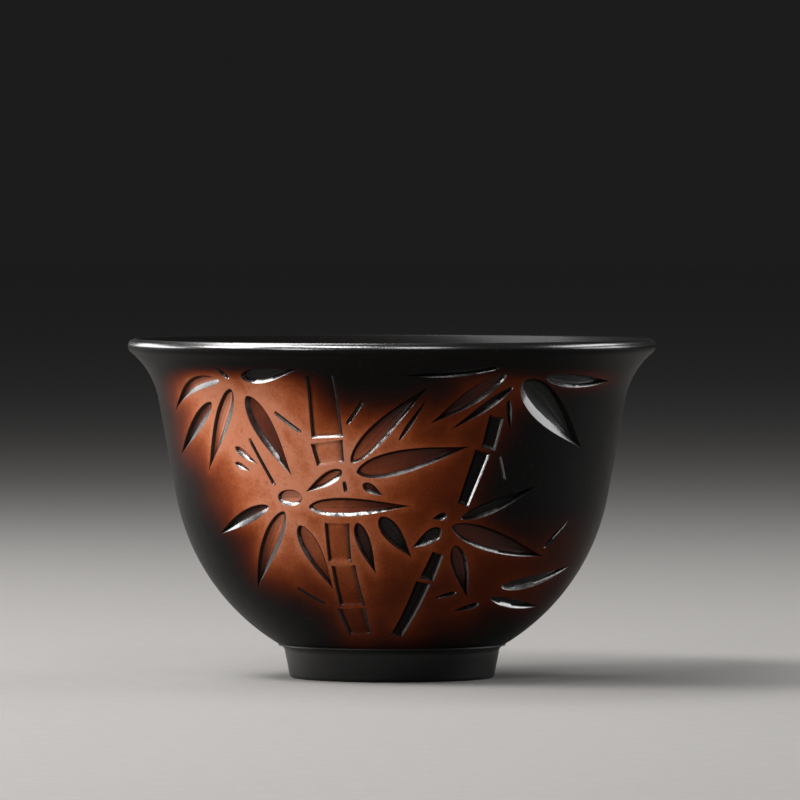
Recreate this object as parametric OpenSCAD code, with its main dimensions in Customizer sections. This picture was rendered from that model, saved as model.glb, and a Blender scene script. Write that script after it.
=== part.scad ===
// Gongfu teacup: a thrown dark bowl with a flared lip, a foot ring, and bamboo carved into the
// front. The leaves are pockets filled with dark slip, and the canes are sunk panels.
// The origin is the centre of the foot's standing face, +Z is up, and the carved front faces -Y.

/* [Bowl] */
// Outer diameter across the lip
rim_d = 72; // [66:0.5:80]
// Height of the whole cup
cup_h = 46.2; // [42:0.2:54]
// Thickness of the wall and of the rounded lip
wall = 2; // [1.6:0.1:2.6]
// Lean of the straight part of the wall from upright
wall_lean = 10.4; // [8:0.2:13]
// Distance of the lip's centre outside the straight wall's outer face
flare_out = 1.8; // [1.2:0.1:3]
// Radius of the flare under the lip
flare_r = 10.8; // [8:0.2:14]
// Radius of the belly outside
belly_r = 30; // [26:0.5:34]
// Radius of the belly inside
inner_belly_r = 22; // [19:0.5:24]
// Thickness of the floor
floor_t = 3.2; // [2.4:0.1:4.5]

/* [Foot] */
// Diameter of the flat seat under the bowl that the foot ring joins
seat_d = 31; // [28:0.5:34]
// Height of the foot ring
foot_h = 4.6; // [3.8:0.1:6]
// Diameter of the foot ring where it stands
foot_d = 28; // [26:0.5:29]
// Width of the foot ring's standing face
foot_ring_w = 2.8; // [2:0.1:4]
// Depth of the hollow under the foot
foot_hollow = 2.2; // [1:0.1:3]
// Radius of the cove between the foot and the bowl
foot_cove_r = 0.9; // [0.5:0.1:1.2]
// Bevel on the standing face's edges
foot_bevel = 0.4; // [0.2:0.1:0.7]
// Gap between the foot ring and the disc that it is luted round
foot_fit = 0.05; // [0.02:0.01:0.15]

/* [Carving] */
// Depth of a leaf's pocket
leaf_depth = 0.8; // [0.6:0.05:1.1]
// Depth of a leaf fill's face below the wall
fill_sunk = 0.4; // [0.2:0.05:0.5]
// Gap round a leaf fill in its pocket
fill_fit = 0.04; // [0.02:0.01:0.08]
// Depth of a cane's panel
cane_depth = 0.45; // [0.3:0.05:0.8]
// Width of a twig's groove
twig_w = 0.6; // [0.4:0.1:0.8]

/* [Hidden] */
$fn = 144;
// Least height of the foot ring's edge above its cove
cove_land = 0.2;
// How far a cutter reaches past the wall's surface, and the bare bands beside the foot and the lip
reach = 2.5;
foot_band = 0.5;
lip_band = 2.2;
// Steps of the carving's layout across the bowl at half height, and from the seat up to the lip
girth_steps = 59;
height_steps = 41.5;
// Segments on each side of a leaf's outline, and how they crowd towards its base
leaf_steps = 7;
leaf_crowding = 1.4;
// How many times the gap at its sides a leaf fill is shorter than its pocket
point_gaps = 8;
// A leaf's fullness at its base and its tip, and the same for a round bud
LEAF_FORM = [0.6, 1.25];
BUD_FORM = [0.5, 0.5];

// Outer face of the wall: a flare arc about flare_c, a straight part from wall_lo up to wall_hi,
// and a belly arc about belly_c that ends at the seat. Points are [radius, height].
out_dir = [cos(wall_lean), -sin(wall_lean)];
up_dir = [sin(wall_lean), cos(wall_lean)];
lip_c = [(rim_d - wall) / 2, cup_h - wall / 2];
line_p = lip_c - flare_out * out_dir;
flare_run = sqrt(pow(flare_r + wall / 2, 2) - pow(flare_r - flare_out, 2));
wall_hi = line_p - flare_run * up_dir;
flare_c = wall_hi + flare_r * out_dir;
lip_angle = atan2(lip_c[1] - flare_c[1], lip_c[0] - flare_c[0]);
seat_p = [seat_d / 2, foot_h];
seat_off = (seat_p - line_p) * out_dir + belly_r;
belly_run = (seat_p - line_p) * up_dir + sqrt(pow(belly_r, 2) - pow(seat_off, 2));
wall_lo = line_p + belly_run * up_dir;
belly_c = wall_lo - belly_r * out_dir;

// Inner face: the same wall line and flare set in by the wall, and a rounder belly on a flat floor
floor_z = foot_hollow + floor_t;
inner_line = (line_p - wall * out_dir) * out_dir;
inner_c = [(inner_line - inner_belly_r + (floor_z + inner_belly_r) * sin(wall_lean)) / cos(wall_lean),
           floor_z + inner_belly_r];
inner_lo = inner_c + inner_belly_r * out_dir;
inner_hi = wall_hi - wall * out_dir;

foot_in_r = foot_d / 2 - foot_ring_w;
cove_z = foot_h - cove_land - foot_cove_r;
foot_top_r = seat_d / 2 - foot_cove_r;

// Radius of the outer face at height z, and its lean from upright there
function face_r(z) =
    z < wall_lo[1] ? belly_c[0] + sqrt(pow(belly_r, 2) - pow(z - belly_c[1], 2)) :
    z < wall_hi[1] ? wall_lo[0] + (z - wall_lo[1]) * tan(wall_lean) :
    flare_c[0] - sqrt(pow(flare_r, 2) - pow(z - flare_c[1], 2));
function face_lean(z) =
    z < wall_lo[1] ? asin((belly_c[1] - z) / belly_r) :
    z < wall_hi[1] ? wall_lean :
    asin((z - flare_c[1]) / flare_r);

// The length of one layout step, so that the carving keeps its spacing on a cup of another size
mid_z = (foot_h + cup_h) / 2;
mid_r = face_r(mid_z);
step = min(2 * mid_r / girth_steps, (cup_h - foot_h) / height_steps);

// Each spray has a name, its hub's place right of and above the front's middle, and its leaves. A leaf
// has its base's place right of and above the hub on the wall, its direction (0 right, 90 up), length,
// width and bow to its left. Places, lengths, widths and bows are in layout steps, here and below.
SPRAYS = [
    ["upper_left", [-20.1, 15], [
        [-3, 0.5, 200, 14, 2, -1.4],
        [-6, -3, 215, 13, 2.2, 0],
        [-1.5, -1, 238, 13.5, 2.8, 0],
        [1, -2, 299, 12.5, 3.3, 0],
        [0.8, 0.9, 9, 9.5, 2.4, 0],
        [-1.2, 0.8, 135, 3, 0.9, 0],
        [-2.2, -9.2, -32, 4.4, 1.2, 0],
        [-2.6, -11.5, -21, 2.9, 0.9, 0]]],
    ["lower_left", [-13.6, -0.8], [
        [-4, -0.5, 202, 11.5, 2, -0.2],
        [-1.6, -1, 234, 14.5, 2.8, 0],
        [0.5, -2.7, 288, 10.3, 2.8, 0.2],
        [2.2, -0.6, 1, 14, 2.7, 0.1]]],
    ["centre", [-6.2, 3.7], [
        [-0.3, 0, 209, 6.2, 1.9, 0],
        [0.9, 1, 45, 14.8, 2.7, 0.35],
        [7.2, 4.1, 57, 7, 0.7, 0],
        [1.7, -0.4, 13, 15.6, 3.4, 0.25],
        [1.5, -6.9, 286, 8, 2, 0],
        [2.4, -1.8, -30, 3.3, 1.4, 0],
        [4.8, -6.2, 306, 7.4, 2.5, 0]]],
    ["right", [7.7, -3.3], [
        [-0.8, -0.8, 215, 4.8, 2.1, 0.1],
        [1.8, 0.5, 21, 12, 1.9, 0],
        [0.8, -0.8, -17, 16.4, 3.2, 0],
        [1.4, -2.9, 292, 9, 2.3, 0],
        [-0.1, 1.1, 195, 2.2, 1.1, 0],
        [2.8, -9.8, 198, 3.4, 0.9, 0]]],
    ["upper_right", [16, 15.8], [
        [0.8, -0.9, -36, 16.2, 4.7, 0],
        [4.3, -0.1, -3, 14.5, 2.1, 0],
        [-2.1, 0.5, 214, 12.4, 2.4, 0],
        [-0.7, -1.5, 214, 10.6, 1.3, 0],
        [-3.5, 1.5, 185, 13, 1.3, 0],
        [-1.1, -3.3, 280, 4.4, 0.9, 0]]],
    ["lower_right", [16.2, -12.5], [
        [2.2, -0.1, 13, 14.2, 2.2, 0],
        [1.5, -1.8, -10, 11.8, 1.6, 0],
        [-0.3, -2.4, 199, 4, 1.2, 0],
        [6.8, 7, 46, 5.6, 1.1, 0]]]];
// The round bud at the lower left hub: its base, direction, length, width and bow, as for a leaf
BUD_HUB = SPRAYS[1][1];
BUD = [-2.4, 0.8, 0, 3.8, 2.3, 0];
// Internodes of the canes: the lower end's place right of and above the front's middle, direction,
// length, and the widths of the lower and the upper end
CANES = [
    [-8.3, 8.3, 93, 8.5, 4.5, 4.1],
    [-8, 4.5, 98, 2.9, 3.9, 4.6],
    [-7.7, -8.4, 89, 5.5, 3.3, 3.5],
    [-6.9, -14.3, 93, 6.2, 3.6, 3.4],
    [-6.8, -18.7, 93, 5.1, 3.2, 4],
    [0.9, -18.7, 74, 10.4, 1.6, 2.1],
    [5.5, -10.8, 74, 4.1, 2.1, 1.7],
    [9.7, -1, 72, 7.5, 1.7, 2.4],
    [12.8, 6.7, 79, 4.4, 2.2, 2.3]];
// Twigs beside the canes: the lower end's place, direction and length
TWIGS = [
    [-11.7, 8.7, 144, 4.8],
    [-5.7, 9.8, 54, 4],
    [-11.6, -14.5, 141, 4.6],
    [14.4, 5.8, -72, 4],
    [-6.1, 0.7, 97, 1.7],
    [-19.6, 7.9, 298, 7.4]];

function leaf_name(spray, i) = str(spray[0], "_leaf_", i + 1);
LEAF_NODES = [for (s = SPRAYS) for (i = [0:len(s[2]) - 1]) leaf_name(s, i)];

// The area inside the outer face set in by t, from the axis out
module outer_face(t) {
    lo = wall_lo - t * out_dir;
    hi = wall_hi - t * out_dir;
    intersection() {
        translate(belly_c) circle(belly_r - t);
        translate([0, foot_h]) square([rim_d, lo[1] - foot_h]);
    }
    polygon([[0, lo[1]], lo, hi, [0, hi[1]]]);
    difference() {
        translate([0, hi[1]]) square([flare_c[0], cup_h - hi[1]]);
        translate(flare_c) circle(flare_r + t);
    }
}

// The area of the hollow inside the cup, to above the lip
module hollow_face() {
    intersection() {
        translate(inner_c) circle(inner_belly_r);
        translate([inner_c[0], floor_z]) square([rim_d, inner_lo[1] - floor_z]);
    }
    translate([0, floor_z]) square([inner_c[0], inner_lo[1] - floor_z]);
    polygon([[0, inner_lo[1]], inner_lo, inner_hi, [0, inner_hi[1]]]);
    difference() {
        translate([0, inner_hi[1]]) square([flare_c[0], cup_h + wall - inner_hi[1]]);
        translate(flare_c) circle(flare_r + wall);
    }
}

// What is cut away past the lip's centre, which leaves the lip round
module past_lip() difference() {
    translate(flare_c) rotate(lip_angle) translate([0, -rim_d]) square(rim_d);
    translate(lip_c) circle(d = wall);
}

module bowl_section() {
    difference() {
        outer_face(0);
        hollow_face();
        past_lip();
    }
    translate([0, foot_hollow]) square([foot_in_r - foot_fit, foot_h - foot_hollow]);
}

// A layer of the wall between two depths, over the height that is carved. A depth below 0 is outside.
module wall_layer(shallow, deep) rotate_extrude() difference() {
    intersection() {
        translate([0, foot_h + foot_band]) square([rim_d, cup_h - lip_band - foot_h - foot_band]);
        if (shallow < 0) square([rim_d / 2 - shallow, cup_h]); else outer_face(shallow);
    }
    outer_face(deep);
}

// Puts the XY plane flat on the wall's outer face, X to the right and Y up
module on_wall(azimuth, z)
    rotate(azimuth) translate([0, -face_r(z), z]) rotate([90 + face_lean(z), 0, 0]) children();

// The same at a point right of and above a place in the layout
module beside(place, right, up) {
    z = mid_z + place[1] * step;
    azimuth = (place[0] * step / mid_r + right / face_r(z)) * 180 / PI;
    on_wall(azimuth, z + up * cos(face_lean(z))) children();
}

// A leaf's outline about its middle, pointing along X, with its clearance all round
function leaf_half(t, form) = pow(t, form[0]) * pow(1 - t, form[1]);
function leaf_edge(leaf, form, fit, side) =
    let (full = form[0] / (form[0] + form[1]), long = leaf[3] * step - point_gaps * fit)
    [for (i = [0:leaf_steps])
        let (t = pow(i / leaf_steps, form == BUD_FORM ? 1 : leaf_crowding),
             x = (t - 0.5) * long,
             along = x / (leaf[3] * step) + 0.5)
        [x, 4 * leaf[5] * step * along * (1 - along)
            + side * (leaf[4] * step / 2 - fit) * leaf_half(t, form) / leaf_half(full, form)]];
module leaf_outline(leaf, form, fit) {
    left = leaf_edge(leaf, form, fit, 1);
    right = leaf_edge(leaf, form, fit, -1);
    polygon(concat(left, [for (i = [leaf_steps - 1:-1:1]) right[i]]));
}

// The column of a leaf, square to the wall at the leaf's middle
module leaf_column(place, leaf, form, fit) {
    middle = step * ([leaf[0], leaf[1]] + leaf[3] / 2 * [cos(leaf[2]), sin(leaf[2])]);
    beside(place, middle[0], middle[1]) rotate(leaf[2])
        translate([0, 0, -reach]) linear_extrude(2 * reach) leaf_outline(leaf, form, fit);
}

module leaf_pocket(place, leaf, form) intersection() {
    leaf_column(place, leaf, form, 0);
    wall_layer(-reach, leaf_depth);
}

module leaf_fill(place, leaf, form) color("#2c201b") intersection() {
    leaf_column(place, leaf, form, fill_fit);
    wall_layer(fill_sunk, leaf_depth - fill_fit);
}

// A straight panel between two ends of given widths, and a twig's groove, which is a slim one
module cane_panel(place, dir, long, w_lo, w_hi) intersection() {
    beside(place, cos(dir) * long / 2, sin(dir) * long / 2) rotate(dir)
        translate([0, 0, -reach]) linear_extrude(2 * reach) polygon([
            [-long / 2, -w_lo / 2], [long / 2, -w_hi / 2], [long / 2, w_hi / 2], [-long / 2, w_lo / 2]]);
    wall_layer(-reach, cane_depth);
}

module bowl() color("#3a302c") difference() {
    rotate_extrude() bowl_section();
    for (s = SPRAYS, leaf = s[2]) leaf_pocket(s[1], leaf, LEAF_FORM);
    leaf_pocket(BUD_HUB, BUD, BUD_FORM);
    for (c = CANES) cane_panel([c[0], c[1]], c[2], c[3] * step, c[4] * step, c[5] * step);
    for (t = TWIGS) cane_panel([t[0], t[1]], t[2], t[3] * step, twig_w, twig_w);
}

module foot_ring() color("#332b28") rotate_extrude() {
    polygon([
        [foot_in_r + foot_bevel, 0], [foot_d / 2 - foot_bevel, 0], [foot_d / 2, foot_bevel],
        [foot_top_r, cove_z], [foot_top_r, foot_h], [foot_in_r, foot_h], [foot_in_r, foot_bevel]]);
    difference() {
        translate([foot_top_r, cove_z]) square([foot_cove_r, foot_h - cove_z]);
        translate([seat_d / 2, cove_z]) circle(foot_cove_r);
    }
}

bowl();
foot_ring();
leaf_fill(BUD_HUB, BUD, BUD_FORM);  // lower_left_bud
for (s = SPRAYS, i = [0:len(s[2]) - 1])
    leaf_fill(s[1], s[2][i], LEAF_FORM);
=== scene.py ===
"""Looks of the gongfu teacup: a dark stoneware bowl with bamboo carved into a rubbed red patch.

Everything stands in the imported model's frame. The shapes are worked out in millimetres, as in the
part's source, and become metres when a mesh is made. Azimuth runs from the front to the right.
"""

import math
from collections import namedtuple

import bpy
import numpy as np
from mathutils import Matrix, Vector, geometry, kdtree


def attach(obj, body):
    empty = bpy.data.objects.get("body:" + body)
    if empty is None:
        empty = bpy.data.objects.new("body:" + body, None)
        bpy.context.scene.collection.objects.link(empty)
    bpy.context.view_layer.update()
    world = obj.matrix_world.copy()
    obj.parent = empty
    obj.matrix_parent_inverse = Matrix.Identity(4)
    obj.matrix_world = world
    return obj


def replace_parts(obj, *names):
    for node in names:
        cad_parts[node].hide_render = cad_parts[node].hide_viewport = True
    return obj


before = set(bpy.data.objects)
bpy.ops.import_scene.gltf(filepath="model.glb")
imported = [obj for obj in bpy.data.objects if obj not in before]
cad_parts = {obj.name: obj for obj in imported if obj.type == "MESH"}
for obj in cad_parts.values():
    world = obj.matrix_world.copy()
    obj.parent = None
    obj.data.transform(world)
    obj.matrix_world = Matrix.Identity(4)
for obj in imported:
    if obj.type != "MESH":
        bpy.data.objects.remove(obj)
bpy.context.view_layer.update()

MM = 0.001
TINY = 1e-6
SEED = 7
RNG = np.random.default_rng(SEED)

# Sizes of the cup, the same as in the part's source
RIM_D, CUP_H, WALL = 72.0, 46.2, 2.0
WALL_LEAN = math.radians(10.4)
FLARE_OUT, FLARE_R = 1.8, 10.8
BELLY_R, INNER_BELLY_R = 30.0, 22.0
FLOOR_T, FOOT_HOLLOW = 3.2, 2.2
SEAT_D, FOOT_H, FOOT_D, FOOT_RING_W = 31.0, 4.6, 28.0, 2.8
FOOT_COVE_R, FOOT_FIT, COVE_LAND = 0.9, 0.05, 0.2
LEAF_DEPTH, TWIG_W = 0.8, 0.6
GIRTH_STEPS, HEIGHT_STEPS = 59.0, 41.5
LEAF_FORM, BUD_FORM = (0.6, 1.25), (0.5, 0.5)
# The foot's worn edges, rounder than the source's bevel
FOOT_EDGE_R = 0.5

# Points of the section, as [radius, height]
OUT = np.array([math.cos(WALL_LEAN), -math.sin(WALL_LEAN)])
UP = np.array([math.sin(WALL_LEAN), math.cos(WALL_LEAN)])
LIP_C = np.array([(RIM_D - WALL) / 2, CUP_H - WALL / 2])
LINE_P = LIP_C - FLARE_OUT * OUT
WALL_HI = LINE_P - math.sqrt((FLARE_R + WALL / 2) ** 2 - (FLARE_R - FLARE_OUT) ** 2) * UP
FLARE_C = WALL_HI + FLARE_R * OUT
SEAT = np.array([SEAT_D / 2, FOOT_H])
SEAT_OFF = (SEAT - LINE_P) @ OUT + BELLY_R
WALL_LO = LINE_P + ((SEAT - LINE_P) @ UP + math.sqrt(BELLY_R**2 - SEAT_OFF**2)) * UP
BELLY_C = WALL_LO - BELLY_R * OUT
FLOOR_Z = FOOT_HOLLOW + FLOOR_T
INNER_CZ = FLOOR_Z + INNER_BELLY_R
INNER_OFF = (LINE_P - WALL * OUT) @ OUT - INNER_BELLY_R
INNER_CR = (INNER_OFF + INNER_CZ * math.sin(WALL_LEAN)) / math.cos(WALL_LEAN)
INNER_C = np.array([INNER_CR, INNER_CZ])
LIP_ANGLE = math.atan2(LIP_C[1] - FLARE_C[1], LIP_C[0] - FLARE_C[0])
FOOT_IN_R = FOOT_D / 2 - FOOT_RING_W
FOOT_TOP_R = SEAT_D / 2 - FOOT_COVE_R
COVE_Z = FOOT_H - COVE_LAND - FOOT_COVE_R


def face_r(z):
    """Radius of the outer face at height z."""
    z = np.asarray(z, float)
    belly = BELLY_C[0] + np.sqrt(np.maximum(BELLY_R**2 - (z - BELLY_C[1]) ** 2, 0))
    straight = WALL_LO[0] + (z - WALL_LO[1]) * math.tan(WALL_LEAN)
    flare = FLARE_C[0] - np.sqrt(np.maximum(FLARE_R**2 - (z - FLARE_C[1]) ** 2, 0))
    return np.where(z < WALL_LO[1], belly, np.where(z < WALL_HI[1], straight, flare))


def face_lean(z):
    """Lean of the outer face from upright at height z."""
    z = np.asarray(z, float)
    belly = np.arcsin(np.clip((BELLY_C[1] - z) / BELLY_R, -1, 1))
    flare = np.arcsin(np.clip((z - FLARE_C[1]) / FLARE_R, -1, 1))
    return np.where(z < WALL_LO[1], belly, np.where(z < WALL_HI[1], WALL_LEAN, flare))


# The carving's layout is in steps, right of and above the middle of the front
MID_Z = (FOOT_H + CUP_H) / 2
MID_R = float(face_r(MID_Z))
STEP = min(2 * MID_R / GIRTH_STEPS, (CUP_H - FOOT_H) / HEIGHT_STEPS)

# The layout, the same as in the part's source. A leaf has its base's place right of and above its
# hub, direction, length, width and bow, and here also how red its floor is rubbed at the base and at
# the tip, as a share of the ground's own red.
SPRAYS = [
    ("upper_left", (-20.1, 15), [
        (-3, 0.5, 200, 14, 2, -1.4, 1.25, 0.6),
        (-6, -3, 215, 13, 2.2, 0, 0.6, 0.1),
        (-1.5, -1, 238, 13.5, 2.8, 0, 1.25, 0.9),
        (1, -2, 299, 12.5, 3.3, 0, 0.45, 0.25),
        (0.8, 0.9, 9, 9.5, 2.4, 0, 0.12, 0.1),
        (-1.2, 0.8, 135, 3, 0.9, 0, 0.4, 0.3),
        (-2.2, -9.2, -32, 4.4, 1.2, 0, 0.9, 0.9),
        (-2.6, -11.5, -21, 2.9, 0.9, 0, 0.8, 0.8)]),
    ("lower_left", (-13.6, -0.8), [
        (-4, -0.5, 202, 11.5, 2, -0.2, 0.35, 0.1),
        (-1.6, -1, 234, 14.5, 2.8, 0, 1.2, 0.45),
        (0.5, -2.7, 288, 10.3, 2.8, 0.2, 1.1, 0.85),
        (2.2, -0.6, 1, 14, 2.7, 0.1, 1.15, 0.5)]),
    ("centre", (-6.2, 3.7), [
        (-0.3, 0, 209, 6.2, 1.9, 0, 1, 0.9),
        (0.9, 1, 45, 14.8, 2.7, 0.35, 0.95, 0.5),
        (7.2, 4.1, 57, 7, 0.7, 0, 0.3, 0.2),
        (1.7, -0.4, 13, 15.6, 3.4, 0.25, 0.8, 0.4),
        (1.5, -6.9, 286, 8, 2, 0, 0.35, 0.1),
        (2.4, -1.8, -30, 3.3, 1.4, 0, 0.6, 0.3),
        (4.8, -6.2, 306, 7.4, 2.5, 0, 0.12, 0.05)]),
    ("right", (7.7, -3.3), [
        (-0.8, -0.8, 215, 4.8, 2.1, 0.1, 0.1, 0.05),
        (1.8, 0.5, 21, 12, 1.9, 0, 0.3, 0.1),
        (0.8, -0.8, -17, 16.4, 3.2, 0, 0.9, 0.7),
        (1.4, -2.9, 292, 9, 2.3, 0, 0.85, 0.6),
        (-0.1, 1.1, 195, 2.2, 1.1, 0, 0, 0),
        (2.8, -9.8, 198, 3.4, 0.9, 0, 0, 0)]),
    ("upper_right", (16, 15.8), [
        (0.8, -0.9, -36, 16.2, 4.7, 0, 0.05, 0),
        (4.3, -0.1, -3, 14.5, 2.1, 0, 0.1, 0),
        (-2.1, 0.5, 214, 12.4, 2.4, 0, 0.85, 0.7),
        (-0.7, -1.5, 214, 10.6, 1.3, 0, 0.4, 0.3),
        (-3.5, 1.5, 185, 13, 1.3, 0, 0.2, 0.1),
        (-1.1, -3.3, 280, 4.4, 0.9, 0, 0.3, 0.2)]),
    ("lower_right", (16.2, -12.5), [
        (2.2, -0.1, 13, 14.2, 2.2, 0, 0.3, 0.1),
        (1.5, -1.8, -10, 11.8, 1.6, 0, 0.1, 0),
        (-0.3, -2.4, 199, 4, 1.2, 0, 0.2, 0.1),
        (6.8, 7, 46, 5.6, 1.1, 0, 0.2, 0.1)])]
BUD_HUB, BUD = SPRAYS[1][1], (-2.4, 0.8, 0, 3.8, 2.3, 0, 1.2, 1.2)
# Internodes: the lower end's place, direction, length, lower and upper width, how red the floor is,
# and how far the floor dips at the lower and the upper end, from 0 to 1. Below 0 it rises there, and
# at -0.38 it comes up to the wall.
CANES = [
    (-8.3, 8.3, 93, 8.5, 4.5, 4.1, 1, 1, 0),
    (-8, 4.5, 98, 2.9, 3.9, 4.6, 1, 0.1, 0),
    (-7.7, -8.4, 89, 5.5, 3.3, 3.5, 0.95, -0.38, 0),
    (-6.9, -14.3, 93, 6.2, 3.6, 3.4, 0.95, -0.25, -0.38),
    (-6.8, -18.7, 93, 5.1, 3.2, 4, 0.9, -0.38, 0.2),
    (0.9, -18.7, 74, 10.4, 1.6, 2.1, 0.1, -0.38, 0.7),
    (5.5, -10.8, 74, 4.1, 2.1, 1.7, 0.1, 0.7, 0.3),
    (9.7, -1, 72, 7.5, 1.7, 2.4, 0, 0.3, 0.7),
    (12.8, 6.7, 79, 4.4, 2.2, 2.3, 0.1, 0.7, 0)]
# How far each internode here reaches past the solid's at its lower and upper end, in millimetres, so
# that only a thin node is left between two
CANE_REACH = [
    (0.25, 0), (0, 0.25), (0.25, 0), (0.42, 0.25), (0, 0.43), (0, 0.33), (0.32, 0), (0, 0.23),
    (0.22, 0)]
# Twigs: the lower end's place, direction, length, and how much of the banks' gloss shows
TWIGS = [
    (-11.7, 8.7, 144, 4.8, 1),
    (-5.7, 9.8, 54, 4, 1),
    (-11.6, -14.5, 141, 4.6, 0.1),
    (14.4, 5.8, -72, 4, 1),
    (-6.1, 0.7, 97, 1.7, 1),
    (-19.6, 7.9, 298, 7.4, 1)]
TWIG_RED = 0.2

# Where a cut meets the wall: the width of the worn ground beside it and of its rounded edge, the
# depth of a panel's edge and the wear of a leaf's. An edge takes at most a third of its bank, and at
# a leaf's tip it is twice as long.
WORN_W, EDGE_W, EDGE_DEPTH, EDGE_WEAR = 0.1, 0.09, 0.05, 0.6
EDGE_PARTS, TIP_EDGES = 3, 2
# The banks of a leaf. The tool was held aslant, so the upper left bank is steep and the lower right
# one slopes: their widths, the most that each takes of the leaf's width, and the sloped one's depth.
STEEP_W, SLOPED_W = 0.42, 0.46
STEEP_SHARE, SLOPED_SHARE = 0.22, 0.42
BANK_DEPTH = 0.56
# The hand's unevenness along a bank: its size, and its waves' spacing, number and range of paces
BANK_WAVE, WAVE_SPACING, WAVE_COUNT, WAVE_PACES = 0.016, 2.4, 4, (0.4, 1.7)
# Which way the flat of the tool faced, the least that it faced the wall, the range of slopes that it
# left, and how far the potter turned the cup along with the work
TOOL_WAY, LEAST_ACROSS = np.array([-0.31, -0.81, 0.5]), 1e-3
LEAST_SLOPE, MOST_SLOPE = 0.6, 1.3
TURN_SHARE = 0.5
# Sloped banks that were cut wider than the usual one
WIDE_BANKS = {
    "upper_left_leaf_1": 0.7, "upper_left_leaf_2": 0.85, "upper_left_leaf_3": 0.9,
    "upper_left_leaf_4": 0.75, "upper_left_leaf_5": 0.7, "lower_left_leaf_1": 0.75,
    "lower_left_leaf_2": 0.75, "lower_left_bud": 0.5, "centre_leaf_1": 0.65, "right_leaf_1": 0.6,
    "upper_right_leaf_2": 0.75, "lower_right_leaf_1": 0.65}
# Sloped banks at the left side, which slope less than the tool's hold would give
GENTLE_BANKS = {
    "upper_left_leaf_1": 0.5, "upper_left_leaf_2": 0.4, "upper_left_leaf_3": 0.38,
    "lower_left_leaf_1": 0.45, "lower_left_leaf_2": 0.45}
# Broad scooped banks, as a width alone
SCOOPED = {"upper_right_leaf_1": 1.3}
# Sloped banks with less gloss than the usual one
DULL_BANKS = {
    "upper_left_leaf_1": 0.4, "upper_left_leaf_2": 0.45, "upper_left_leaf_3": 0.4,
    "lower_left_leaf_1": 0.7, "centre_leaf_2": 0.4, "centre_leaf_4": 0.2, "upper_right_leaf_1": 0.55}
# How far the glint of a bank is broken, from 0 to 1: of most banks, and of some
FEW_BREAKS = 0.2
BREAKS = {
    "upper_left_leaf_1": 0.0, "upper_left_leaf_4": 0.7, "lower_left_leaf_4": 1.0,
    "centre_leaf_2": 0.9, "upper_right_leaf_1": 0.0}
# How much a leaf's bank shortens it at the base and at the tip, in bank widths, and a round bud's
END_BANKS, ROUND_END_BANKS = (1.0, 2.2), (1.0, 1.0)
ROUND_STEEP_W = 0.2
# The slip in a leaf: its gap to the pocket, how far its face sinks in the middle, from what width of
# leaf on it sinks as far, and how steeply it does so from the ends
SLIP_GAP, DISH, FULL_DISH_W, DISH_STEEPNESS = 0.03, 0.18, 2.6, 8
# Its raised midrib's height and share of the width, how much darker its edge is and how narrowly so,
# and its steps across
RIB, RIB_W = 0.07, 0.13
EDGE_DARK, EDGE_DARK_POWER = 0.2, 4
SLIP_ACROSS = 10
# The two kinds of panel: the widths of the steep and the sloped bank and the most that a bank takes
# of the panel's width, the depth, how far the floor swells, and whether the ends run out
PanelKind = namedtuple("PanelKind", "banks bank_share depth swell runs_out")
CANE = PanelKind(banks=(0.3, 0.36), bank_share=0.18, depth=0.42, swell=0.72, runs_out=False)
TWIG = PanelKind(banks=(0.14, 0.34), bank_share=1, depth=0.3, swell=0, runs_out=True)
# A panel's ends: how far they run out or dip, the most of the length that this takes, and over what
# length their gloss fades
END_RUN, RUN_SHARE, END_SHINE = 0.7, 0.3, 0.5
# The share of a panel's bank that is its edge, and the powers that shape the floor's swell across
# and keep the dark, dark skin and painted shade, to the grooves beside it
EDGE_SHARE, SWELL_POWER, GROOVE_POWER = 0.2, 4, 3
# The spacing of points along a cut, and the least number of steps along a leaf, along a panel and
# across a panel
CUT_SPACING = 0.22
LEAST_LEAF_STEPS, LEAST_PANEL_STEPS, LEAST_PANEL_COLUMNS = 10, 4, 2
# How far from its own plane a flat point is looked for on the wall, and how often that is halved
SEARCH_REACH, SEARCH_HALVINGS = 3.0, 40

# The angle from which an edge of a mesh is sharp, less than that between a sloped bank and its
# pocket's side
SHARP_FROM = math.radians(33)
# The wall's mesh: columns round the cup, the spacing of its rows, its distance from the cuts, where
# it ends under the lip, and how finely its profile is measured
COLUMNS, ROW_SPACING, CLEAR_OF_CUTS = 240, 0.9, 0.32
WALL_TOP_Z, PROFILE_SAMPLES = 43.9, 600
# Steps of the turned profiles
FLARE_END_STEPS, UNDER_LIP_STEPS, OVER_LIP_STEPS = 2, 5, 11
INNER_FLARE_STEPS, INNER_WALL_STEPS, INNER_BELLY_STEPS, INNER_FLOOR_STEPS = 8, 12, 24, 4
SEAT_STEPS, DISC_SIDE_STEPS, DISC_STEPS = 2, 2, 4
FOOT_BORE_STEPS, FOOT_EDGE_STEPS, FOOT_FLAT_STEPS, FOOT_SIDE_STEPS, COVE_STEPS = 3, 6, 3, 6, 8
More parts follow.
